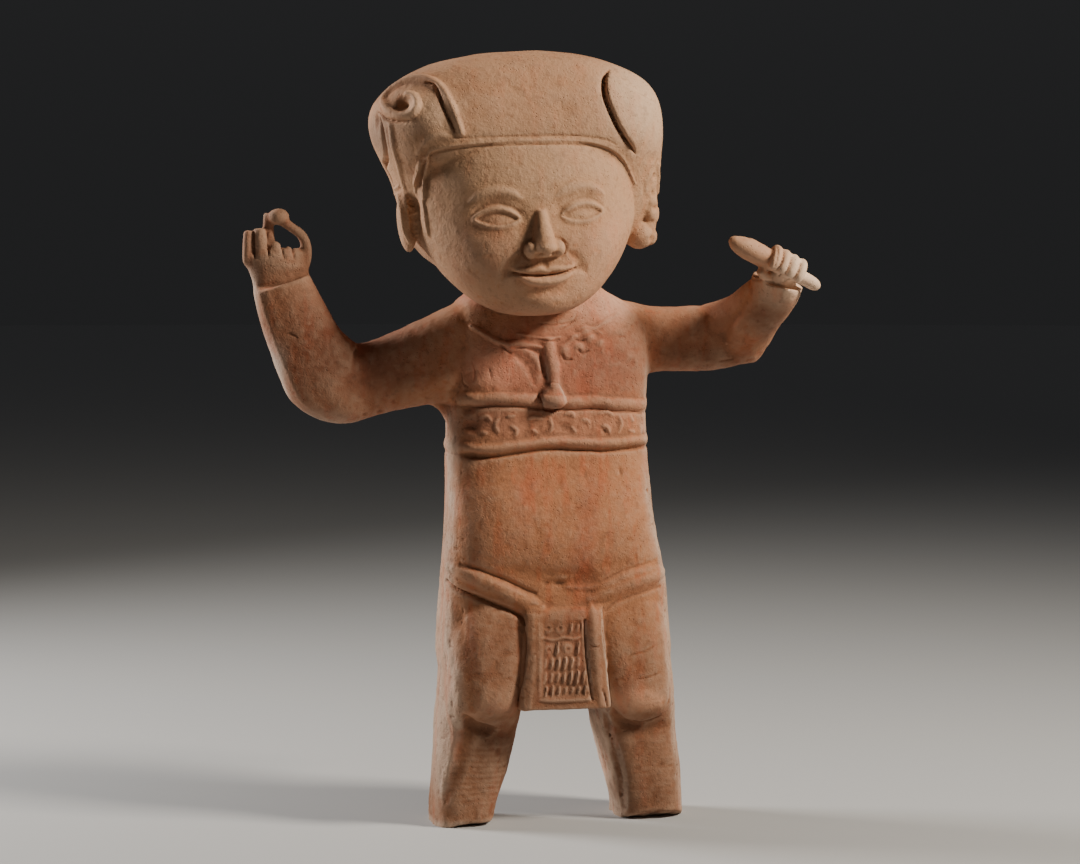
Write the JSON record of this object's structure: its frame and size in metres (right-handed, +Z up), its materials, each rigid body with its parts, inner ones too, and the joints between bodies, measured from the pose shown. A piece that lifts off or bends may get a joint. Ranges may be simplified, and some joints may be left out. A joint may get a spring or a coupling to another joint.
{
  "type": "pottery smiling figure",
  "caption": "Hollow fired-clay figure standing with both arms raised, a wide flaring headdress, a calm smile, a banded chest and a stamped loincloth, a small rattle in its left hand.",
  "frame": {"origin": "centre of the bounding box at floor level, between and under the two legs", "axes": "+Z up, the figure faces -Y, its left hand with the rattle is towards +X"},
  "size_m": [0.3412, 0.1322, 0.4677],
  "materials": {
    "fired_clay": "dull, dry, unglazed buff-orange earthenware with worn red slip on the chest and belly"
  },
  "bodies": {
    "root": {"figure": "fired_clay"}
  },
  "joints": []
}
